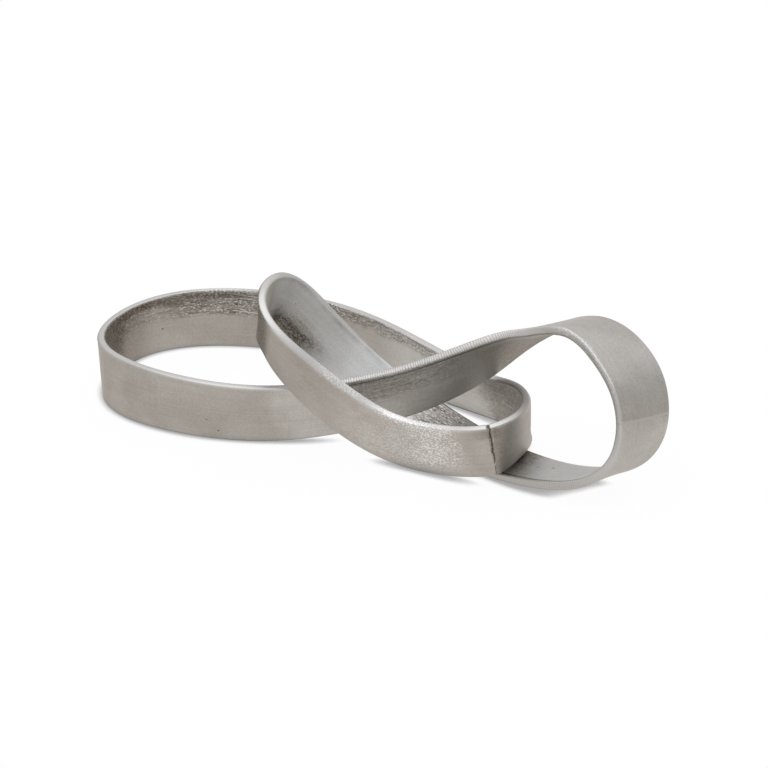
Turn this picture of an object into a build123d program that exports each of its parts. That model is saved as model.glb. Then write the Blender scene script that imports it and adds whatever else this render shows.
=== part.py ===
"""Metal knot: a flat cast band tied in a closed trefoil, in lengths welded end to end.

Millimetres. X runs along the knot, Z is up, and the table top is at Z = 0 below the middle of the knot.
"""

from build123d import *
import math
import os

# Band
BAND_WIDTH = 42.0
BAND_THICKNESS = 6.0
EDGE_ROUND = 1.7
GROUND_DEPTH = 0.4      # ground off the underside wherever the knot stands
CONTACT_GAP = 0.4       # air where one strand rides over another

# Loops, measured from the origin to the middle line of the band
LEFT_REACH = 205.0
LEFT_LOOP_FRONT = 80.0
LEFT_LOOP_BACK = 85.0
RIGHT_REACH = 195.0
RIGHT_LOOP_RISE = 51.0  # lower edge of the band at the top of the loop, above the rails
MIDDLE_LOOP_RISE = 25.0

# Welds
WELD_LENGTH = 1.6       # weld metal along the band
SEAM_SINK = 0.5         # the one undressed weld lies below the faces beside it
SECTIONS_PER_GUIDE = 3

# Heights of the lower edge of the band
STANDS = -GROUND_DEPTH
LIES = BAND_THICKNESS / 2 - GROUND_DEPTH
SEAT = BAND_THICKNESS + CONTACT_GAP
OVER_RAILS = BAND_WIDTH + CONTACT_GAP

# Guide points in order along the band: along, across, height of the lower edge, direction of the width
GUIDES = [
    # front rail of the left loop, on edge
    (-LEFT_REACH + 42, -LEFT_LOOP_FRONT + 7, STANDS, (0, 0.05, 1)),
    (-102, -LEFT_LOOP_FRONT, STANDS + 1.5, (0, -0.1, 1)),
    (-46, -LEFT_LOOP_FRONT + 20, STANDS - 1.5, (0, -0.2, 1)),
    # crossing strap, rising and turning over the back rail
    (24, -21, SEAT + 8, (-0.1, -0.4, 0.9)),
    (72, 1, OVER_RAILS + 2, (-0.1, -0.6, 0.8)),
    (93, 25, OVER_RAILS + RIGHT_LOOP_RISE - 27, (0.15, -0.9, 0.4)),
    # right loop, over the top and down to the table
    (RIGHT_REACH - 61, 21, OVER_RAILS + RIGHT_LOOP_RISE, (-0.1, -1, 0.1)),
    (RIGHT_REACH - 26, 2, OVER_RAILS + RIGHT_LOOP_RISE - 8, (-0.5, -0.85, 0)),
    (RIGHT_REACH - 3, -15, OVER_RAILS + RIGHT_LOOP_RISE - 27, (-0.45, -0.9, 0.1)),
    (RIGHT_REACH, -20, 28, (-0.35, -0.9, 0.2)),
    (RIGHT_REACH - 28, -34, 2, (0.05, -1, 0.2)),
    # foot strap, lying flat under the curl
    (96, -23, LIES, (-0.1, -1, 0)),
    (58, -4, LIES, (-0.15, -1, 0)),
    # rising strap, under the crossing strap
    (-6, -5, 4, (-0.4, -0.65, -0.65)),
    (-60, 4, OVER_RAILS + MIDDLE_LOOP_RISE - 24, (-0.7, -0.2, -0.7)),
    # middle loop, up and back over the front rail
    (-75, -18, OVER_RAILS + MIDDLE_LOOP_RISE + 1, (-0.25, -0.3, -0.9)),
    (-57, -71, OVER_RAILS + MIDDLE_LOOP_RISE, (-0.05, 0.5, -0.85)),
    # front strap, down to the table and up onto the foot strap
    (-21, -72, OVER_RAILS - 1, (-0.5, 0.35, -0.8)),
    (28, -52, STANDS - 6.5, (-0.25, 0.25, -0.95)),
    (101, -63, SEAT + 1.5, (0.1, 0.4, -0.9)),
    # curl, turning sharply at the undressed weld and standing on the foot strap
    (112, -49, SEAT + 3, (-0.2, 0.25, -0.95)),
    (115, -26, SEAT + 3, (-0.2, -0.1, -0.95)),
    (98, 12, SEAT, (0.3, 0.1, -0.95)),
    # back rail of the left loop, on edge
    (68, 30, STANDS + 2.5, (0.2, 0.45, -0.85)),
    (6, 49, STANDS, (0, 0.1, -1)),
    (-77, LEFT_LOOP_BACK, STANDS, (0, -0.05, -1)),
    # left bend
    (-LEFT_REACH + 37, LEFT_LOOP_BACK - 19, STANDS, (0, -0.05, -1)),
    (-LEFT_REACH, 18, STANDS, (-0.1, 0, -1)),
    (-LEFT_REACH + 8, -43, STANDS, (0.1, 0.05, -1)),
]

# Lengths of band, each from the weld before it to the weld after it, in guide points along the knot
LENGTHS = {
    "front_rail": (0.6, 2.2),
    "crossing_strap": (2.2, 5.0),
    "right_bend_upper": (5.0, 8.4),
    "right_bend_lower": (8.4, 10.4),
    "foot_strap": (10.4, 12.3),
    "rising_strap": (12.3, 14.0),
    "middle_bend": (14.0, 16.5),
    "front_strap": (16.5, 19.6),
    "end_curl": (19.6, 22.8),
    "back_rail": (22.8, 26.0),
    "left_bend": (26.0, len(GUIDES) + 0.6),
}
SEAM_LENGTH = "front_strap"   # its far end has the undressed weld


def guide(index):
    """Middle of the band and direction of its width at a guide point, counted on round the knot."""
    rounds, row = divmod(index, len(GUIDES))
    along, across, lower_edge, direction = GUIDES[row]
    width = Vector(*direction).normalized()
    middle = Vector(along, across, lower_edge + BAND_WIDTH / 2 * abs(width.Z))
    # one trip round the knot turns the band over
    return middle, width * (-1) ** rounds


def blend(place, weights):
    """Middle and width direction mixed from the four guide points round a place."""
    first = math.floor(place) - 1
    middle = Vector(0, 0, 0)
    width = Vector(0, 0, 0)
    for step, weight in enumerate(weights):
        guide_middle, guide_width = guide(first + step)
        middle += guide_middle * (weight / 6)
        width += guide_width * (weight / 6)
    return middle, width


def path(place):
    """Middle, width direction and travel of the band: a closed uniform cubic B-spline."""
    f = place - math.floor(place)
    middle, width = blend(place, ((1 - f) ** 3, 3 * f**3 - 6 * f**2 + 4, -3 * f**3 + 3 * f**2 + 3 * f + 1, f**3))
    travel, _ = blend(place, (-3 * (1 - f) ** 2, 9 * f**2 - 12 * f, -9 * f**2 + 6 * f + 3, 3 * f**2))
    return middle, width, travel


def section(place, sink=0.0):
    """Cross-section of the band, square to its travel."""
    middle, width, travel = path(place)
    profile = RectangleRounded(BAND_WIDTH - 2 * sink, BAND_THICKNESS - 2 * sink, EDGE_ROUND)
    return Plane(middle, x_dir=width, z_dir=travel) * profile


def half_weld(place):
    """Half a weld's length, counted in guide points."""
    return WELD_LENGTH / 2 / path(place)[2].length


def stand(solid):
    """The solid with its underside ground flat on the table."""
    return split(solid, bisect_by=Plane.XY, keep=Keep.TOP)


def length_of_band(start, end):
    """One length of band between two welds."""
    first = start + half_weld(start)
    last = end - half_weld(end)
    count = max(3, round((last - first) * SECTIONS_PER_GUIDE))
    places = [first + (last - first) * step / count for step in range(count + 1)]
    return stand(loft([section(place) for place in places]))


def weld(place, sink):
    """Weld metal that fills the joint between two lengths."""
    half = half_weld(place)
    return stand(loft([section(place - half, sink), section(place + half, sink)]))


os.makedirs("parts", exist_ok=True)
for name, (start, end) in LENGTHS.items():
    export_step(length_of_band(start, end), f"parts/{name}.step")
    sink = SEAM_SINK if name == SEAM_LENGTH else 0.0
    export_step(weld(end, sink), f"parts/weld_after_{name}.step")
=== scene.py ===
# %% Load the fixed frame
import math
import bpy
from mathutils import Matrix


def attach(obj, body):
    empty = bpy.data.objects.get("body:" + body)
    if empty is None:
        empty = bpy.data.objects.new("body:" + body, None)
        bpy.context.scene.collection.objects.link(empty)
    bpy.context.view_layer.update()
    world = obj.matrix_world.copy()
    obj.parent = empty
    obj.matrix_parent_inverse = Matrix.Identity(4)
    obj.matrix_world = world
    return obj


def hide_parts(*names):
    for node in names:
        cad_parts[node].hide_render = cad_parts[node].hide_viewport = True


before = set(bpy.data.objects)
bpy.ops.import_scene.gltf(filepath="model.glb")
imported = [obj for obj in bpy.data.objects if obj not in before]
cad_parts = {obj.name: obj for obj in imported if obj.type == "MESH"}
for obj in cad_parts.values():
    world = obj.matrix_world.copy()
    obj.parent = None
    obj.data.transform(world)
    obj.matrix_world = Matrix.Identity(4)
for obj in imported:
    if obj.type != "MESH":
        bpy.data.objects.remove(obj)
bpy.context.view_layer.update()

from types import SimpleNamespace

import bmesh
import bpy
from mathutils import Matrix, Vector, noise

# %% [markdown]
# # A metal knot for the table
#
# The object is a flat band of metal, tied in a loose knot and welded into a closed loop. It has no
# moving parts, so every piece here rides on the same body.
# The band could be drawn as a curve with a bevel object, but then its twist would have to be set as a
# tilt at each point. We repeat the rule of the part instead: guide points give the middle of the band
# and the direction of its width, and a closed cubic B-spline blends them. The guide points are the
# part's own. The edges are rounded a little more than there and the rough weld lies less deep, because
# that looks more like the photograph. Sizes of the knot are in millimetres, and `MM` turns them into
# metres. The floor, the lamp and the camera are in metres from the start.

# %% Sizes of the band and the guide points
MM = 0.001
BAND_WIDTH = 42.0
BAND_THICKNESS = 6.0
EDGE_ROUND = 2.2
GROUND_DEPTH = 0.4        # ground off the underside wherever the knot stands
CONTACT_GAP = 0.4         # air where one strand rides over another
WELD_LENGTH = 1.6         # weld metal along the band
SEAM_SINK = 0.25          # the rough weld lies below the faces beside it

# Loops, measured from the origin to the middle line of the band
LEFT_REACH = 205.0
LEFT_LOOP_FRONT = 80.0
LEFT_LOOP_BACK = 85.0
RIGHT_REACH = 195.0
RIGHT_LOOP_RISE = 51.0    # lower edge of the band at the top of the loop, above the rails
MIDDLE_LOOP_RISE = 25.0

# Heights of the lower edge of the band
STANDS = -GROUND_DEPTH
LIES = BAND_THICKNESS / 2 - GROUND_DEPTH
SEAT = BAND_THICKNESS + CONTACT_GAP
OVER_RAILS = BAND_WIDTH + CONTACT_GAP

# Guide points in order along the band: along, across, height of the lower edge, direction of the width
GUIDES = [
    # front rail of the left loop, on edge
    (-LEFT_REACH + 42, -LEFT_LOOP_FRONT + 7, STANDS, (0, 0.05, 1)),
    (-102, -LEFT_LOOP_FRONT, STANDS + 1.5, (0, -0.1, 1)),
    (-46, -LEFT_LOOP_FRONT + 20, STANDS - 1.5, (0, -0.2, 1)),
    # crossing strap, rising and turning over the back rail
    (24, -21, SEAT + 8, (-0.1, -0.4, 0.9)),
    (72, 1, OVER_RAILS + 2, (-0.1, -0.6, 0.8)),
    (93, 25, OVER_RAILS + RIGHT_LOOP_RISE - 27, (0.15, -0.9, 0.4)),
    # right loop, over the top and down to the table
    (RIGHT_REACH - 61, 21, OVER_RAILS + RIGHT_LOOP_RISE, (-0.1, -1, 0.1)),
    (RIGHT_REACH - 26, 2, OVER_RAILS + RIGHT_LOOP_RISE - 8, (-0.5, -0.85, 0)),
    (RIGHT_REACH - 3, -15, OVER_RAILS + RIGHT_LOOP_RISE - 27, (-0.45, -0.9, 0.1)),
    (RIGHT_REACH, -20, 28, (-0.35, -0.9, 0.2)),
    (RIGHT_REACH - 28, -34, 2, (0.05, -1, 0.2)),
    # foot strap, lying flat under the curl
    (96, -23, LIES, (-0.1, -1, 0)),
    (58, -4, LIES, (-0.15, -1, 0)),
    # rising strap, under the crossing strap
    (-6, -5, 4, (-0.4, -0.65, -0.65)),
    (-60, 4, OVER_RAILS + MIDDLE_LOOP_RISE - 24, (-0.7, -0.2, -0.7)),
    # middle loop, up and back over the front rail
    (-75, -18, OVER_RAILS + MIDDLE_LOOP_RISE + 1, (-0.25, -0.3, -0.9)),
    (-57, -71, OVER_RAILS + MIDDLE_LOOP_RISE, (-0.05, 0.5, -0.85)),
    # front strap, down to the table and up onto the foot strap
    (-21, -72, OVER_RAILS - 1, (-0.5, 0.35, -0.8)),
    (28, -52, STANDS - 6.5, (-0.25, 0.25, -0.95)),
    (101, -63, SEAT + 1.5, (0.1, 0.4, -0.9)),
    # curl, turning sharply at the rough weld and standing on the foot strap
    (112, -49, SEAT + 3, (-0.2, 0.25, -0.95)),
    (115, -26, SEAT + 3, (-0.2, -0.1, -0.95)),
    (98, 12, SEAT, (0.3, 0.1, -0.95)),
    # back rail of the left loop, on edge
    (68, 30, STANDS + 2.5, (0.2, 0.45, -0.85)),
    (6, 49, STANDS, (0, 0.1, -1)),
    (-77, LEFT_LOOP_BACK, STANDS, (0, -0.05, -1)),
    # left bend
    (-LEFT_REACH + 37, LEFT_LOOP_BACK - 19, STANDS, (0, -0.05, -1)),
    (-LEFT_REACH, 18, STANDS, (-0.1, 0, -1)),
    (-LEFT_REACH + 8, -43, STANDS, (0.1, 0.05, -1)),
]
print("guide points:", len(GUIDES))

# %% [markdown]
# ## The line that the band follows
#
# A uniform cubic B-spline mixes four neighbouring guide points. Its weights change smoothly along the
# band, so the band has no kink anywhere. After one trip round the knot the band has turned over, so the
# width direction changes sign there: the band has only one side and one edge.

# %% Path of the band
WEIGHT_SUM = 6  # of the four weights below


def guide(index):
    """Middle of the band and direction of its width at a guide point, counted on round the knot."""
    rounds, row = divmod(index, len(GUIDES))
    along, across, lower_edge, direction = GUIDES[row]
    width = Vector(direction).normalized()
    middle = Vector((along, across, lower_edge + BAND_WIDTH / 2 * abs(width.z))) * MM
    return middle, width * (-1) ** rounds


def blend(place, weights):
    """Middle and width direction mixed from the four guide points round a place."""
    first = math.floor(place) - 1
    middle, width = Vector(), Vector()
    for step, weight in enumerate(weights):
        guide_middle, guide_width = guide(first + step)
        middle += guide_middle * (weight / WEIGHT_SUM)
        width += guide_width * (weight / WEIGHT_SUM)
    return middle, width


def path(place):
    """Middle, width direction and travel of the band at a place counted in guide points."""
    f = place - math.floor(place)
    weights = ((1 - f) ** 3, 3 * f**3 - 6 * f**2 + 4, -3 * f**3 + 3 * f**2 + 3 * f + 1, f**3)
    slopes = (-3 * (1 - f) ** 2, 9 * f**2 - 12 * f, -9 * f**2 + 6 * f + 3, 3 * f**2)
    middle, width = blend(place, weights)
    travel, _ = blend(place, slopes)
    return middle, width, travel


def section_plane(place):
    """Turn and middle of the section: X over the width, Y through the thickness, Z along the travel."""
    middle, width, travel = path(place)
    z = travel.normalized()
    x = (width - z * width.dot(z)).normalized()
    y = z.cross(x)
    return Matrix((x, y, z)).transposed().to_4x4(), middle


print("band starts at", [round(v, 3) for v in path(0)[0]])

# %% [markdown]
# ## Metres along the band
#
# Guide points aren't evenly spaced, but welds and marks have sizes in millimetres. A table of the length
# so far, summed in small steps, turns a place counted in guide points into metres along the band.

# %% Length along the band
STEPS_PER_GUIDE = 100
GUIDES_PAST_END = 2  # the last length ends beyond the first guide point
lengths_so_far = [0.0]
for step in range(1, (len(GUIDES) + GUIDES_PAST_END) * STEPS_PER_GUIDE):
    speed = path((step - 0.5) / STEPS_PER_GUIDE)[2].length
    lengths_so_far.append(lengths_so_far[-1] + speed / STEPS_PER_GUIDE)


def length_along(place):
    """Metres of band from the first guide point to a place."""
    step = int(place * STEPS_PER_GUIDE)
    share = place * STEPS_PER_GUIDE - step
    return lengths_so_far[step] * (1 - share) + lengths_so_far[step + 1] * share


print("band length", round(length_along(len(GUIDES)), 3), "m")

# %% [markdown]
# ## The borders of the welds
#
# Each length ends at a weld. Most welds are flush, so their borders are straight and can't be seen. The
# one on the right loop shows as a faint slanted line, and the one at the corner of the curl is rough. A
# border is a small shift along the band that differs over the width. The shift fades out over the next
# few millimetres, so that the rings of points near a rough end don't cross.

# %% Borders
BORDER_FADE = 10.0 * MM
FAINT_SLANT = 0.07        # along the band for each metre across it
FAINT_WANDER = 0.5 * MM
FAINT_CELLS = 60          # of noise per metre
FAINT_LAYER = 1.3         # of the noise, a different one for each weld
SEAM_SLANT = 0.045
SEAM_SHIFT = 0.6 * MM
SEAM_WANDER = 0.8 * MM
SEAM_CELLS = 150
SEAM_LAYER = 3.1


def wander(across, depth, cells, layer):
    """Smooth noise over the end of a piece, from about -1 to 1."""
    return noise.noise(Vector((across * cells, depth * cells, layer)))


def flush_border(across, depth):
    """A straight border."""
    return 0.0


def slanted_border(across, depth):
    """The border of the faint weld on the right loop, askew."""
    return FAINT_SLANT * across + FAINT_WANDER * wander(across, depth, FAINT_CELLS, FAINT_LAYER)


def ragged_border(across, depth):
    """The border of the rough weld at the curl, askew and wandering."""
    stray = SEAM_WANDER * wander(across, depth, SEAM_CELLS, SEAM_LAYER)
    return SEAM_SLANT * across - SEAM_SHIFT + stray


def drift(across, depth, from_start, from_end, borders):
    """How far a point of a piece moves along the band for the borders at its two ends."""
    start_border, end_border = borders
    if start_border is end_border:
        return start_border(across, depth)
    near_start = max(0.0, 1 - from_start / BORDER_FADE)
    near_end = max(0.0, 1 - from_end / BORDER_FADE)
    return start_border(across, depth) * near_start + end_border(across, depth) * near_end


half_width = round(BAND_WIDTH / 2)
largest_shift = max(abs(ragged_border(across * MM, 0)) for across in range(-half_width, half_width + 1))
print("largest shift of the ragged border", round(largest_shift / MM, 2), "mm")

# %% [markdown]
# ## The shape of the faces
#
# A face that was finished by hand is never quite even, so the faces get low waves, no deeper than a third
# of a millimetre. At the sharp turn of the curl the band bulges over its width and its lower edge is
# drawn in. Both are small moves of the points out of the flat section, square to the face. Waves go
# inward only, so the band doesn't grow.

# %% Waves and the bulge of the curl
WAVE_DEPTH = 0.22 * MM
WAVE_CELLS = 45           # per metre
RIPPLE_DEPTH = 0.1 * MM
RIPPLE_CELLS = 140
SIDE_MARGIN = 1.02        # lifts the share 0.5 of a flat side over the mark where it rounds to 1
CURL_DOME = (19.8, 22.4)  # first and last place
DOME_HEIGHT = 1.6 * MM
FOOT_TUCK = 2.4 * MM


def wave(point):
    """How far a face dips at a point."""
    slow = 0.5 + 0.5 * noise.noise(point * WAVE_CELLS)
    quick = 0.5 + 0.5 * noise.noise(point * RIPPLE_CELLS)
    return WAVE_DEPTH * slow + RIPPLE_DEPTH * quick


def outward(across, depth):
    """Direction out of the section at a point on one of its flat sides."""
    return Vector((round(across / (BAND_WIDTH * MM) * SIDE_MARGIN),
                   round(depth / (BAND_THICKNESS * MM) * SIDE_MARGIN), 0))


def dome(place, across):
    """How far the curl bulges at a point."""
    first, last = CURL_DOME
    if not first < place < last:
        return 0.0
    strength = math.sin(math.pi * (place - first) / (last - first)) ** 2
    share = across / (BAND_WIDTH / 2 * MM)
    return strength * (DOME_HEIGHT * (1 - share**2) - FOOT_TUCK * max(0.0, share) ** 2)


def point_of_band(place, across, depth):
    """Where a point of the band lies, never below the table."""
    turn, middle = section_plane(place)
    point = middle + turn @ Vector((across, depth - dome(place, across), 0))
    point -= turn @ outward(across, depth) * wave(point)
    point.z = max(point.z, 0.0)
    return point


print("bulge in the middle of the curl", round(dome(sum(CURL_DOME) / 2, 0) / MM, 2), "mm")

# %% [markdown]
# ## Sweeping the band
#
# Each piece starts as one flat face with its corners rounded by a vertex bevel. Extruding that face and
# carrying it from one section plane to the next gives the tube of the band. The extrusion is given the
# edges of the face too, because then it takes away the face it starts from, and only the first and the
# last stay, as end caps. Each point keeps its place on the straightened band in attributes, because brush
# marks follow the band and not the room: along it, across it and through it, all in metres.

# %% Sweep one length
STATION = 1.5 * MM        # from one ring of points to the next
ROUND_STEPS = 5
CUTS_ACROSS = 15


def profile_face(bm, width, thickness, corner):
    """The cross-section as one face, with more points over its width."""
    bmesh.ops.create_grid(bm, x_segments=1, y_segments=1, size=0.5)
    reach = max(v.co.x for v in bm.verts)
    bmesh.ops.scale(bm, vec=(width / 2 / reach, thickness / 2 / reach, 1), verts=bm.verts)
    bmesh.ops.bevel(bm, geom=bm.verts[:], offset=corner, offset_type="OFFSET", segments=ROUND_STEPS,
                    profile=0.5, affect="VERTICES", material=-1)
    wide = [e for e in bm.edges if e.calc_length() > width / 2]
    bmesh.ops.bisect_edges(bm, edges=wide, cuts=CUTS_ACROSS)
    return bm.faces[:][0]


def as_object(bm, name):
    """The finished mesh as an object, smooth but for the rims of its end caps."""
    bmesh.ops.recalc_face_normals(bm, faces=bm.faces)
    for f in bm.faces:
        f.smooth = True
    for e in bm.edges:
        # only an end cap has more than four corners
        e.smooth = not any(len(f.verts) > 4 for f in e.link_faces)
    mesh = bpy.data.meshes.new(name)
    bm.to_mesh(mesh)
    bm.free()
    piece = bpy.data.objects.new(name, mesh)
    bpy.context.scene.collection.objects.link(piece)
    return piece


def sweep(name, start, end, borders, sink=0.0):
    """One piece of band as an object, from one place to another."""
    bm = bmesh.new()
    place_layer = bm.verts.layers.float.new("place")
    band_layer = bm.verts.layers.float_vector.new("band")
    share_layer = bm.verts.layers.float.new("share")
    width, thickness = (BAND_WIDTH - 2 * sink) * MM, (BAND_THICKNESS - 2 * sink) * MM
    face = profile_face(bm, width, thickness, EDGE_ROUND * MM)
    for v in face.verts:
        v[band_layer] = (0, v.co.x, v.co.y)
    total = length_along(end) - length_along(start)
    count = max(1, round(total / STATION))
    for step in range(count + 1):
        if step:
            out = bmesh.ops.extrude_face_region(bm, geom=[face, *face.edges])
            face = next(g for g in out["geom"] if isinstance(g, bmesh.types.BMFace))
        place = start + (end - start) * step / count
        gone = length_along(place) - length_along(start)
        for v in face.verts:
            _, across, depth = v[band_layer]
            shift = drift(across, depth, gone, total - gone, borders)
            here = place + shift / path(place)[2].length
            v.co = point_of_band(here, across, depth)
            v[place_layer] = here
            v[share_layer] = step / count
            v[band_layer] = (length_along(here), across, depth)
    return as_object(bm, name)


# %% [markdown]
# ## Lengths and welds
#
# The part has eleven lengths set end to end, with a butt weld between each two. Each piece here takes the
# place of one of the part's, so it is swept between the same places. All welds are flush but the one
# where the front strap meets the curl, which is a shallow groove.

# %% Make the lengths and their welds
LENGTHS = {  # the welds before and after each, in guide points along the knot
    "front_rail": (0.6, 2.2),
    "crossing_strap": (2.2, 5.0),
    "right_bend_upper": (5.0, 8.4),
    "right_bend_lower": (8.4, 10.4),
    "foot_strap": (10.4, 12.3),
    "rising_strap": (12.3, 14.0),
    "middle_bend": (14.0, 16.5),
    "front_strap": (16.5, 19.6),
    "end_curl": (19.6, 22.8),
    "back_rail": (22.8, 26.0),
    "left_bend": (26.0, len(GUIDES) + 0.6),
}
SEAM_LENGTH = "front_strap"        # the weld after it is rough
FAINT_LENGTH = "right_bend_upper"  # the weld after it shows as a faint line
BORDERS = {SEAM_LENGTH: ragged_border, FAINT_LENGTH: slanted_border}


def half_weld(place):
    """Half a weld's length, counted in guide points."""
    return WELD_LENGTH * MM / 2 / path(place)[2].length


lengths, welds = {}, {}
border_before = flush_border
for node, (start, end) in LENGTHS.items():
    border_after = BORDERS.get(node, flush_border)
    sink = SEAM_SINK if node == SEAM_LENGTH else 0.0
    first, last, beyond = start + half_weld(start), end - half_weld(end), end + half_weld(end)
    lengths[node] = sweep(node + "_band", first, last, (border_before, border_after))
    welds[node] = sweep(node + "_weld", last, beyond, (border_after, border_after), sink)
    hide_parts(node)
    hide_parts("weld_after_" + node)
    border_before = border_after
pieces = [*lengths.values(), *welds.values()]
print("pieces:", len(pieces), "points:", sum(len(piece.data.vertices) for piece in pieces))

# %% [markdown]
# ## Writing shaders as sums
#
# A small class wraps an output socket, so that `1 - mask` or `grain * 0.4` adds the Math node for us.
# Every other node comes from its method `node`, which takes the node's type, its settings and what goes
# into its sockets. A wire with no socket yet is where a new tree starts.

# %% Socket class
class Wire:
    """An output socket that can be used in sums."""

    def __init__(self, tree, socket=None):
        self.tree = tree
        self.socket = socket

    def node(self, kind, settings=None, sockets=None, output=0):
        """A new node in the same tree: its settings first, then the values or wires of its sockets."""
        made = self.tree.nodes.new(kind)
        for key, value in (settings or {}).items():
            setattr(made, key, value)
        for key, value in (sockets or {}).items():
            if isinstance(value, Wire):
                self.tree.links.new(value.socket, made.inputs[key])
            else:
                made.inputs[key].default_value = value
        return Wire(self.tree, made.outputs[output])

    def other(self, output):
        """Another output of the node that this wire leaves."""
        return Wire(self.tree, self.socket.node.outputs[output])

    def into(self, socket):
        """Link this wire to a socket of a node that is already there."""
        self.tree.links.new(self.socket, socket)

    def sum(self, operation, first, second=0.0):
        """A Math node."""
        return self.node("ShaderNodeMath", {"operation": operation}, {0: first, 1: second})

    def __add__(self, other):
        return self.sum("ADD", self, other)

    def __sub__(self, other):
        return self.sum("SUBTRACT", self, other)

    def __rsub__(self, other):
        return self.sum("SUBTRACT", other, self)

    def __mul__(self, other):
        return self.sum("MULTIPLY", self, other)

    def __abs__(self):
        return self.sum("ABSOLUTE", self)

    def ramp(self, low, high):
        """0 at low and 1 at high, smooth between."""
        return self.node("ShaderNodeMapRange", {"interpolation_type": "SMOOTHSTEP"},
                         {"Value": self, "From Min": low, "From Max": high})

    def between(self, low, high, soft):
        """1 between two values and 0 outside, with soft borders."""
        return self.ramp(low - soft, low + soft) * (1 - self.ramp(high - soft, high + soft))

    def most(self, other):
        """The larger of two wires."""
        return self.sum("MAXIMUM", self, other)

    def colour(self, first, second):
        """A colour that goes from the first to the second as this wire goes from 0 to 1."""
        return self.node("ShaderNodeMix", {"data_type": "RGBA"}, {0: self, 6: first, 7: second}, output=2)

    __radd__ = __add__
    __rmul__ = __mul__


def new_metal(name):
    """A fresh material that is all metal, and its shader."""
    material = bpy.data.materials.new(name)
    material.use_nodes = True
    shader = material.node_tree.nodes["Principled BSDF"]
    shader.inputs["Metallic"].default_value = 1.0
    return material, shader


print("a wire can:", ", ".join(name for name in vars(Wire) if not name.startswith("_")))

# %% [markdown]
# ## Where the finish and the painted light and shade differ
#
# The finish of the band is uneven. Some areas are rough, like the skin of a casting, with painted shade in
# their hollows, and some of those have painted highlights on their crests. Others are a lighter grey,
# partly smoother and partly painted light, and others are darkened with painted shade. The upper edge of
# the crossing strap has cross marks like those of a file, and there are pits, scratches and painted shadow
# lines. Each mark is a row in a list: its place along the band in guide points, its distance from the
# middle line in millimetres, and the side of the band (1 or -1, or 0 for both sides and the edge). Rows are
# easier to read and to move than a painted picture would be.

# %% Marks on the band
# Rough skin is real roughness in the bump, and its hollows also get painted shade and its crests painted
# highlights.
ROUGH_SKIN = [  # first place, last place, from, to, side, strength
    (25.1, 26.4, -22, -3, 1, 0.5),     # back wall of the left loop, upper half
    (25.0, 27.7, -22, -3, 1, 0.45),    # the same, on to the left bend
    (23.2, 25.2, -22, -12, 1, 0.75),   # back rail behind the crossing strap
    (2.3, 3.7, 1, 22, 1, 0.4),         # crossing strap, upper half
    (2.3, 5.2, -22, 22, 1, 0.12),      # round that
    (11.95, 12.65, -22, 4, 1, 0.85),   # foot strap, below the crossing strap
    (20.6, 23.1, -18, 20, 1, 0.45),    # inner wall of the curl
    (13.8, 15.0, -3, 8, 1, 0.3),       # inside of the middle loop
]
# Highlight patches: painted highlights, shining crests and glints where the metal catches the light.
HIGHLIGHT_PATCHES = [  # as above, but with shining crests
    (18.35, 18.75, -22, 12, -1, 0.65),  # front strap, before the curl
    (17.7, 18.9, -22, 17, -1, 0.4),    # round that
    (16.9, 18.9, -24, -19, 0, 0.75),   # upper edge of the front strap
    (6.0, 7.9, 20.5, 24, 0, 0.8),      # near edge of the right loop
    (25.8, 26.3, -24, -18, 0, 0.8),    # rim of the back wall
]
# A lighter grey: partly a smoother finish and partly painted light, where these faces would catch more
# light.
SMOOTH_AND_LIT = [  # as above, but smoother and a lighter grey
    (12.7, 15.2, -24, 24, 1, 1.0),     # rising strap and the inside of the middle loop
    (9.3, 10.9, -24, 24, 1, 0.4),      # foot strap
    (2.0, 4.0, -24, 24, 1, 0.4),       # crossing strap
    (22.9, 24.4, -24, 24, 1, 0.5),     # back rail behind the crossing strap
    (8.5, 10.2, -24, 24, -1, 0.3),     # right loop, lower half
]
# Painted shade: darkening inside the loops, under and beside other strands and on bright rims.
PAINTED_SHADE_AREAS = [  # as above, but darkened
    (27.5, 28.9, -24, 24, 1, 0.8),     # end of the left loop, inside
    (27.0, 28.9, -24, 24, 1, 0.4),     # round that
    (25.7, 27.6, -22, -14, 1, 0.8),    # below the rim of the back wall
    (13.9, 14.8, 5, 24, 1, 0.65),      # inside of the middle loop, along its near edge
    (13.7, 15.0, 1, 24, 1, 0.4),       # round that
    (10.7, 11.6, -22, 22, 1, 1.0),     # foot strap, below the curl
    (11.9, 12.5, -22, 4, 1, 0.2),      # foot strap, below the crossing strap
    (4.2, 5.2, -22, 14, 1, 0.45),      # crossing strap, where it turns over
    (19.3, 19.5, -24, -14, -1, 0.6),   # beside the rough weld
    (20.8, 23.1, -22, 22, 1, 0.3),     # inner wall of the curl
    (28.0, 29.6, -24, 24, -1, 0.12),   # left bend, outside
    (13.2, 15.2, -24, -18, 0, 0.3),    # far edge of the middle loop
    (9.8, 11.3, 18, 24, 0, 0.15),      # near edge of the foot strap
]
# Painted shade on the middle loop and on the curl after the rough weld, and a darker tone of the right loop
# above its weld.
SHADES = [  # begins, full from, full to, ends, side, strength: a darker stretch with clear ends
    (5.0, 7.0, 8.39, 8.41, -1, 0.2),       # right loop, above its weld
    (15.4, 15.8, 16.12, 16.36, -1, 0.95),  # middle loop, outside
    (19.59, 19.61, 19.9, 20.7, -1, 0.42),  # curl, after the rough weld
]
FILE_MARKS = [  # first place, last place, edge, spacing, strength
    (2.45, 5.1, 1, 1.7, 0.6),          # crossing strap, upper edge
    (9.9, 10.9, 1, 1.1, 0.35),         # foot strap, near edge
]
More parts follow.
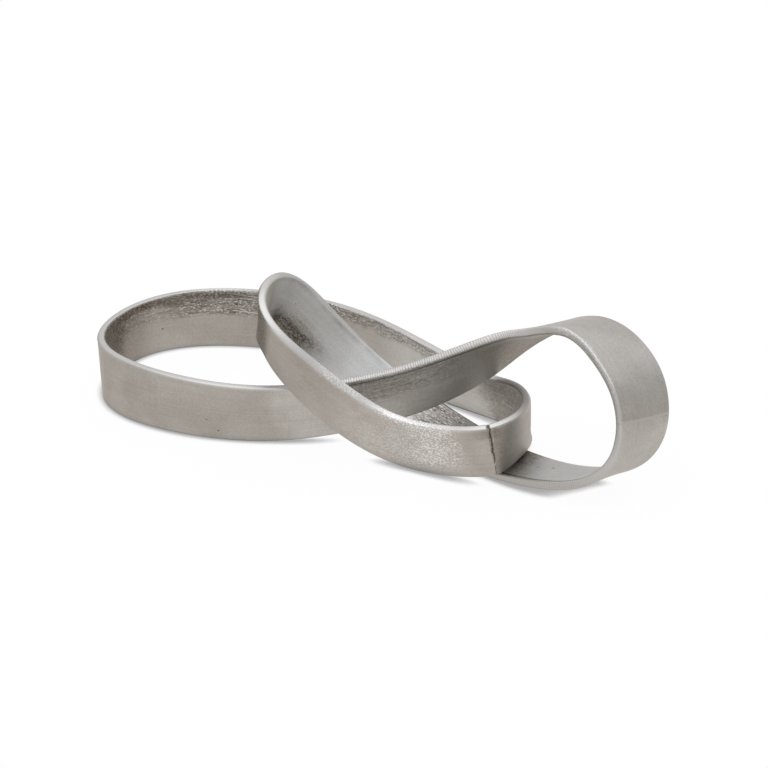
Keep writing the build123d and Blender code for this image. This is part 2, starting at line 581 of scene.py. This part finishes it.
# Pits are dents in the bump, painted dark as shade inside them.
PITS = [  # place, distance, side, radius
    (10.62, -2.0, 1, 1.3),             # foot strap
    (10.47, -6.0, 1, 1.7),
    (26.70, 3.0, 1, 1.2),              # left bend
    (14.55, -6.0, 1, 0.8),             # inside of the middle loop
    (1.20, -6.5, 1, 0.9),              # front rail
    (1.33, -14.0, 1, 1.0),
    (17.26, -18.6, 1, 1.4),            # front strap, inside its upper edge
]
SCRATCHES = [  # first place, last place, distance at the first, distance at the last, side
    (22.22, 22.62, -0.6, -3.2, 1),     # inner wall of the curl
    (25.40, 25.95, -14.5, -18.5, 1),   # back wall of the left loop
    (25.45, 25.85, -12.5, -15.5, 1),
    (25.50, 25.90, -4.0, -6.0, 1),
]
# Painted shadow lines: thin shade along edges and where one strand passes another.
SHADOW_LINES = [  # as above, but wider and dark
    (9.6, 10.9, 19.0, 19.0, 1),        # foot strap, where its near edge begins to round
    (2.4, 4.6, 18.0, 18.0, 1),         # crossing strap, below its filed edge
    (22.9, 23.7, 19.5, 19.5, 1),       # back rail, where it passes the curl
]
print("rough areas:", len(ROUGH_SKIN), "filed edges:", len(FILE_MARKS), "pits:", len(PITS))

# %% [markdown]
# ## Where a shaded point lies
#
# The marks lie on the straightened band, so the metal first needs the place of the shaded point on it,
# which the sweep has stored in attributes. The finish is mixed from a few noises. Most are stretched along
# the band, as brush marks are, and two are even in all directions. Their fineness is given in cells per
# metre. The coarsest noise also lets the borders of an area stray, so that no area looks like a box.

# %% Place and noises of a shaded point
BRUSH_CELLS = (14, 900, 900)          # along, across and through the band
SKIN_CELLS = (330, 900, 900)
SPECK_CELLS = (560, 1200, 1200)
GLINT_CELLS = (700, 1100, 1100)
STREAK_CELLS = (40, 700, 700)
GRAIN_CELLS = 900.0
BLOTCH_CELLS = 38.0
SIDE_FADE = (1.2 * MM, 2.4 * MM)      # depths between which a side begins
EDGE_FADE = ((BAND_WIDTH / 2 - 2.2) * MM, (BAND_WIDTH / 2 - 0.4) * MM)
STRAY_ALONG = 0.7                     # guide points
STRAY_ACROSS = 12.0 * MM


def cloud(coordinates, scale, detail, roughness):
    """Noise on some coordinates."""
    return coordinates.node("ShaderNodeTexNoise", None, {"Vector": coordinates, "Scale": scale,
                                                         "Detail": detail, "Roughness": roughness})


def shaded_point(tree):
    """Wires for the place of a shaded point on the band and for the noises there."""
    start = Wire(tree)
    room = start.node("ShaderNodeTexCoord", output="Object")
    place = start.node("ShaderNodeAttribute", {"attribute_name": "place"}, output="Fac")
    band = start.node("ShaderNodeAttribute", {"attribute_name": "band"}, output="Vector")
    along = band.node("ShaderNodeSeparateXYZ", None, {0: band})
    across, depth = along.other(1), along.other(2)

    def stretched(cells, detail, roughness):
        """Noise that is stretched along the band."""
        in_cells = band.node("ShaderNodeMapping", None, {"Vector": band, "Scale": cells})
        return cloud(in_cells, 1.0, detail, roughness)

    blotch = cloud(room, BLOTCH_CELLS, 3.0, 0.55)
    return SimpleNamespace(
        place=place, along=along, across=across, blotch=blotch,
        stray_place=place + (blotch - 0.5) * STRAY_ALONG,
        stray_across=across + (blotch - 0.5) * STRAY_ACROSS,
        on_side={1: depth.ramp(*SIDE_FADE), -1: (0.0 - depth).ramp(*SIDE_FADE), 0: 1.0},
        edge=abs(across).ramp(*EDGE_FADE),
        grain=cloud(room, GRAIN_CELLS, 2.0, 0.6),
        brush=stretched(BRUSH_CELLS, 3.0, 0.6),
        skin=stretched(SKIN_CELLS, 5.0, 0.7),
        speck=stretched(SPECK_CELLS, 2.0, 0.6),
        glint=stretched(GLINT_CELLS, 3.0, 0.7),
        streak=stretched(STREAK_CELLS, 4.0, 0.65),
    )


print("finest noise:", max(SPECK_CELLS), "cells per metre")

# %% [markdown]
# ## From rows to masks
#
# Each kind of mark becomes one mask, which is 0 away from the marks and larger where they are stronger.
# The rows of a list are added up. A file leaves cuts at an even spacing, so its marks are a sine along
# the band, which noise shifts a little. A pit is a small oval, and a scratch or a painted shadow line is a
# thin straight line.

# %% Masks of the marks
SOFT_ALONG = 0.25                     # guide points over which an area fades
SOFT_ACROSS = 2.5 * MM
FILED_EDGE = (19.0 * MM, 20.2 * MM)   # distances between which the filed edge begins
FILE_ENDS = 0.1                       # guide points over which file marks fade
FILE_WOBBLE = 9.0                     # radians by which fine noise shifts the cuts
FILE_SLIDE = 20.0                     # radians by which coarse noise shifts them
FAINTEST_CUT = 0.3
PIT_CORE = 0.35                       # share of a pit's radius that is fully dark
PIT_SQUASH = 2.2                      # makes a pit longer along the band than across it
LINE_CORE = 0.2                       # share of a line's width that is full
LINE_ENDS = 0.02                      # guide points over which a line fades
SCRATCH_WIDTH = 0.45
SHADOW_LINE_WIDTH = 0.9


def areas(at, rows):
    """How much of these areas a point lies in, with straying borders."""
    total = 0.0
    for first, last, low, high, side, strength in rows:
        over = at.stray_across.between(low * MM, high * MM, SOFT_ACROSS)
        inside = at.stray_place.between(first, last, SOFT_ALONG) * over
        total = inside * at.on_side[side] * strength + total
    return total.sum("MINIMUM", total, 1.0)


def stretches(at, rows):
    """How much a point lies in these stretches with clear ends."""
    total = 0.0
    for begins, full_from, full_to, ends, side, strength in rows:
        stretch = at.place.ramp(begins, full_from) * (1 - at.place.ramp(full_to, ends))
        total = stretch * at.on_side[side] * strength + total
    return total


def file_marks(at, rows):
    """The cuts of a file over an edge, and the ridges between them."""
    cuts = ridges = 0.0
    for first, last, side, spacing, strength in rows:
        evenly = at.along * (2 * math.pi / (spacing * MM))
        turns = evenly + at.skin * FILE_WOBBLE + at.blotch * FILE_SLIDE
        row = turns.sum("SINE", turns)
        on_edge = (at.across * side).ramp(*FILED_EDGE) * at.place.between(first, last, FILE_ENDS)
        filed = on_edge * (FAINTEST_CUT + at.speck) * strength
        cuts = filed * row.ramp(0.0, 0.8) + cuts
        ridges = filed * (0.0 - row).ramp(0.1, 0.9) + ridges
    return cuts, ridges


def pit_marks(at, rows):
    """How far inside a pit a point lies."""
    total = 0.0
    for place, off, side, radius in rows:
        from_along = at.along - length_along(place)
        from_across = at.across - off * MM
        squared = from_along * from_along + from_across * from_across * PIT_SQUASH
        far = squared.sum("SQRT", squared)
        total = (1 - far.ramp(PIT_CORE * radius * MM, radius * MM)) * at.on_side[side] + total
    return total


def lines(at, rows, width):
    """Thin lines along the band."""
    total = 0.0
    for first, last, low, high, side in rows:
        slope = (high - low) * MM / (length_along(last) - length_along(first))
        off_line = at.across - low * MM - (at.along - length_along(first)) * slope
        line = 1 - abs(off_line).ramp(LINE_CORE * width * MM, width * MM)
        total = line * at.place.between(first, last, LINE_ENDS) * at.on_side[side] + total
    return total


print("lines:", len(SCRATCHES), "scratches and", len(SHADOW_LINES), "creases")

# %% [markdown]
# ## Cast and brushed metal
#
# The surroundings are almost evenly white, so relief alone would hardly show in the metal. Most of the
# finish is therefore in its colour, and some of that colour is painted light and shade: a face is mixed
# from two tones by blotches, grain and brush marks, rounded edges have a tone of their own, hollows of the
# rough skin, file cuts and pits get painted shade, and crests and file ridges get painted highlights. The
# bump is shallow and adds only a little relief.

# %% Metal of the band
FACE_DARK = (0.425, 0.398, 0.360, 1)
FACE_LIGHT = (0.585, 0.565, 0.533, 1)
SMOOTH_LIT_DARK = (0.660, 0.660, 0.652, 1)
SMOOTH_LIT_LIGHT = (0.850, 0.850, 0.842, 1)
EDGE_METAL = (0.580, 0.567, 0.545, 1)
HOLLOW_SHADE = (0.120, 0.095, 0.068, 1)
CREST_HIGHLIGHT_AND_SCRATCH = (0.900, 0.895, 0.885, 1)
PIT_SHADE = (0.050, 0.042, 0.035, 1)
BUMP_STRENGTH = 0.6
BUMP_DEPTH = 0.6 * MM


def cast_metal(name):
    """Cast metal with the marks above, painted light and shade among them."""
    material, shader = new_metal(name)
    at = shaded_point(material.node_tree)
    rough, bright, smooth = (areas(at, rows) for rows in (ROUGH_SKIN, HIGHLIGHT_PATCHES, SMOOTH_AND_LIT))
    painted_shade = areas(at, PAINTED_SHADE_AREAS) + stretches(at, SHADES)
    cuts, ridges = file_marks(at, FILE_MARKS)
    pits = pit_marks(at, PITS)
    scratches, creases = lines(at, SCRATCHES, SCRATCH_WIDTH), lines(at, SHADOW_LINES, SHADOW_LINE_WIDTH)

    coarse = at.blotch.ramp(0.32, 0.68) * 0.4
    tone = coarse + at.grain.ramp(0.3, 0.7) * 0.4 + at.brush.ramp(0.35, 0.65) * 0.2
    # The lighter grey of the smooth areas is partly painted light.
    face = smooth.colour(tone.colour(FACE_DARK, FACE_LIGHT), tone.colour(SMOOTH_LIT_DARK, SMOOTH_LIT_LIGHT))
    edged = (at.edge * 0.7).colour(face, EDGE_METAL)

    # Painted shade in the hollows of the rough skin; painted highlights on its crests and in the highlight
    # patches, and light scratches.
    hollow_shade = rough * (0.1 + at.speck.ramp(0.58, 0.40) * 0.45 + at.streak.ramp(0.54, 0.38) * 0.45)
    shine = bright * (0.15 + at.glint.ramp(0.46, 0.60) * 0.95)
    crest_highlights = rough * at.speck.ramp(0.57, 0.68) * 0.8 + shine + scratches * 0.8
    cast = crest_highlights.colour(hollow_shade.colour(edged, HOLLOW_SHADE), CREST_HIGHLIGHT_AND_SCRATCH)

    # Painted shade from the darkened areas, the darker stretches and the shadow lines.
    darkness = painted_shade * (0.6 + at.speck.ramp(0.62, 0.40) * 0.35) + creases * 0.7
    with_shade = darkness.colour(cast, HOLLOW_SHADE)
    # File cuts and pits painted dark as shade, file ridges with painted highlights.
    filed = (ridges * 0.5).colour((cuts * 0.45).colour(with_shade, HOLLOW_SHADE), CREST_HIGHLIGHT_AND_SCRATCH)
    (pits * 0.6).colour(filed, PIT_SHADE).into(shader.inputs["Base Color"])

    roughness = 0.47 + at.blotch * 0.08 + at.brush * 0.06 - at.edge * 0.10
    roughness.into(shader.inputs["Roughness"])
    relief = at.grain * 0.20 + at.brush * 0.16 + rough * at.skin * 0.8 + bright * at.glint * 0.7
    height = relief - cuts * 0.5 - pits
    bump = height.node("ShaderNodeBump", None, {"Strength": BUMP_STRENGTH, "Distance": BUMP_DEPTH,
                                                "Height": height})
    bump.into(shader.inputs["Normal"])
    return material


band_material = cast_metal("cast_band_metal")
print("nodes in the band's metal:", len(band_material.node_tree.nodes))

# %% [markdown]
# ## Weld metal
#
# A flush weld has the finish of the band, so it shares that material. The faint weld on the right loop is
# one even metal, which sets it off from the mottled band. The rough weld is a dark crack that wanders
# from side to side, and in its lower half bright beads stand beside the crack. The crack follows the
# share of the way over the weld that the sweep has stored.

# %% Metals of the welds that show
FAINT_METAL = (0.50, 0.485, 0.46, 1)
FAINT_ROUGHNESS = 0.48
SEAM_METAL = (0.36, 0.335, 0.30, 1)
BEAD_METAL = (0.80, 0.75, 0.67, 1)
CRACK_METAL = (0.09, 0.072, 0.056, 1)
SEAM_ROUGHNESS = 0.6
BEAD_CELLS = 700.0
BEADS_BEGIN = (3.0 * MM, 12.0 * MM)   # distances from the middle line
CRACK_MIDDLE = 0.6                    # share of the way over the weld
CRACK_WANDER = 1.2
CRACK_FADE = (0.10, 0.35)             # shares of the way, from full crack to none
SEAM_BUMP_STRENGTH = 0.8
SEAM_BUMP_DEPTH = 0.8 * MM


def faint_metal(name):
    """One even metal."""
    material, shader = new_metal(name)
    shader.inputs["Base Color"].default_value = FAINT_METAL
    shader.inputs["Roughness"].default_value = FAINT_ROUGHNESS
    return material


def seam_metal(name):
    """A dark crack with bright beads in its lower half."""
    material, shader = new_metal(name)
    shader.inputs["Roughness"].default_value = SEAM_ROUGHNESS
    band = Wire(material.node_tree).node("ShaderNodeAttribute", {"attribute_name": "band"}, output="Vector")
    share = band.node("ShaderNodeAttribute", {"attribute_name": "share"}, output="Fac")
    across = band.node("ShaderNodeSeparateXYZ", None, {0: band}, output=1)
    bead = band.node("ShaderNodeTexNoise", None, {"Vector": band, "Scale": BEAD_CELLS, "Detail": 2.0})
    lower = across.ramp(*BEADS_BEGIN)
    crack = 1 - abs(share + (bead - 0.5) * CRACK_WANDER - CRACK_MIDDLE).ramp(*CRACK_FADE)
    beads = (lower * bead.ramp(0.40, 0.60)).colour(SEAM_METAL, BEAD_METAL)
    (crack * (0.9 - lower * 0.35)).colour(beads, CRACK_METAL).into(shader.inputs["Base Color"])
    bump = bead.node("ShaderNodeBump", None, {"Strength": SEAM_BUMP_STRENGTH, "Distance": SEAM_BUMP_DEPTH,
                                              "Height": bead})
    bump.into(shader.inputs["Normal"])
    return material


shown_welds = {FAINT_LENGTH: faint_metal("filed_weld_metal"), SEAM_LENGTH: seam_metal("scaled_weld_metal")}
print("weld metals:", [metal.name for metal in shown_welds.values()])

# %% [markdown]
# ## Dressing the pieces
#
# Every piece gets its metal, rides on the one body and says what it is made of, so that someone who uses
# the knot can change the metal of the band and that of its welds separately.

# %% Dress the pieces
for piece in lengths.values():
    piece.data.materials.append(band_material)
    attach(piece, "root")
for node, piece in welds.items():
    piece.data.materials.append(shown_welds.get(node, band_material))
    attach(piece, "root")
print("dressed:", len(lengths), "lengths and", len(welds), "welds")

# %% [markdown]
# ## White floor
#
# The knot stands on white under soft light. The floor glows white for the camera and for the reflections
# in the metal, where it is a little warmer, and dims only where the knot is close above or beside it,
# which gives the narrow soft shadow. An ordinary lit floor would give a much wider one.

# %% White floor
FLOOR_REACH = 6.0
WHITE = (1, 1, 1, 1)
PAPER_WHITE = (0.95, 0.95, 0.95, 1)
MIRRORED_WHITE = (0.85, 0.815, 0.78, 1)
SHADOW_GREY = (0.40, 0.40, 0.40, 1)
SHADOW_REACH = 7.0 * MM
SHADOW_FADE = (0.35, 0.90)            # share of open space above, from full shadow to none
GLOW_SHARE = 0.96

floor_mesh = bpy.data.meshes.new("floor")
bm = bmesh.new()
bmesh.ops.create_grid(bm, x_segments=1, y_segments=1, size=FLOOR_REACH)
bm.to_mesh(floor_mesh)
bm.free()
floor = bpy.data.objects.new("floor", floor_mesh)
bpy.context.scene.collection.objects.link(floor)

paper = bpy.data.materials.new("white_paper")
paper.use_nodes = True
tree = paper.node_tree
paper_shader = tree.nodes["Principled BSDF"]
paper_shader.inputs["Base Color"].default_value = PAPER_WHITE
paper_shader.inputs["Roughness"].default_value = 1.0
paper_shader.inputs["Specular IOR Level"].default_value = 0.0

camera_ray = Wire(tree).node("ShaderNodeLightPath", output="Is Camera Ray")
glossy_ray = camera_ray.other("Is Glossy Ray")
seen = camera_ray.most(glossy_ray).most(camera_ray.other("Is Transmission Ray"))
occlusion = {"Distance": SHADOW_REACH}
open_above = camera_ray.node("ShaderNodeAmbientOcclusion", {"samples": 8}, occlusion, output="AO")
tint = glossy_ray.colour(WHITE, MIRRORED_WHITE)
shaded = open_above.ramp(*SHADOW_FADE).colour(SHADOW_GREY, tint)
glow = camera_ray.node("ShaderNodeEmission", None, {"Color": shaded, "Strength": 1.0})
lit = camera_ray.node("ShaderNodeMixShader", None, {0: seen * GLOW_SHARE, 2: glow})
tree.links.new(paper_shader.outputs[0], lit.socket.node.inputs[1])
lit.into(tree.nodes["Material Output"].inputs["Surface"])
floor.data.materials.append(paper)
print("floor:", floor.name)

# %% [markdown]
# ## Soft studio light
#
# Bare metal shows what stands round it, so the surroundings matter more than any lamp. They are almost
# white, a little brighter and cooler overhead and darker to the left and right, which shades the bends of
# the band. The camera itself sees plain white. One large lamp overhead adds a little light from above.

# %% Surroundings and lamp
LOW_SKY = (0.90, 0.90, 0.91, 1)
HIGH_SKY = (0.96, 0.98, 1.02, 1)
SIDE_SKY = (0.68, 0.68, 0.69, 1)
SIDE_SHARE = 0.75
SKY_RISE = (-0.1, 0.9)                # heights between which the sky goes from low to high
SIDE_RISE = (0.1, 1.0)                # distances from the middle over which it darkens
LAMP_SPOT = Vector((-0.3, 0.2, 1.6))
LAMP_AIM = Vector((0, 0, 0.04))
LAMP_SIZE = 1.6
LAMP_POWER = 7

world = bpy.data.worlds.new("studio")
bpy.context.scene.world = world
world.use_nodes = True
tree = world.node_tree
background = tree.nodes["Background"]
background.inputs["Strength"].default_value = 1.0
camera_ray = Wire(tree).node("ShaderNodeLightPath", output="Is Camera Ray")
sky = camera_ray.node("ShaderNodeTexCoord", output="Generated")
sideways = sky.node("ShaderNodeSeparateXYZ", None, {0: sky})
upward = sideways.other(2).ramp(*SKY_RISE).colour(LOW_SKY, HIGH_SKY)
studio = (abs(sideways).ramp(*SIDE_RISE) * SIDE_SHARE).colour(upward, SIDE_SKY)
camera_ray.colour(studio, WHITE).into(background.inputs["Color"])

lamp_data = bpy.data.lights.new("overhead_lamp", "AREA")
lamp_data.size = LAMP_SIZE
lamp_data.energy = LAMP_POWER
lamp = bpy.data.objects.new("overhead_lamp", lamp_data)
lamp.location = LAMP_SPOT
lamp.rotation_euler = (LAMP_AIM - LAMP_SPOT).to_track_quat("-Z", "Y").to_euler()
bpy.context.scene.collection.objects.link(lamp)

# %% [markdown]
# ## Camera
#
# The camera stands in front of the knot, to its right and above it, about two and a quarter metres away,
# with a long lens. Both were fitted to the outlines in the photograph.

# %% Camera
LENS = 162.1
SENSOR_WIDTH = 36.0
CAMERA_SPOT = Vector((0.9688, -1.8222, 0.9778))
CAMERA_AIM = Vector((0.0106, -0.0201, 0.0391))

camera_data = bpy.data.cameras.new("camera")
camera_data.lens = LENS
camera_data.sensor_width = SENSOR_WIDTH
camera = bpy.data.objects.new("camera", camera_data)
camera.location = CAMERA_SPOT
camera.rotation_euler = (CAMERA_AIM - CAMERA_SPOT).to_track_quat("-Z", "Y").to_euler()
bpy.context.scene.collection.objects.link(camera)
bpy.context.scene.camera = camera
bpy.context.scene.view_settings.view_transform = "Standard"
print("camera", [round(v, 3) for v in camera.location])

# %% [markdown]
# ## The box of the solids
#
# The dressed knot has to stay inside the box of the solids.
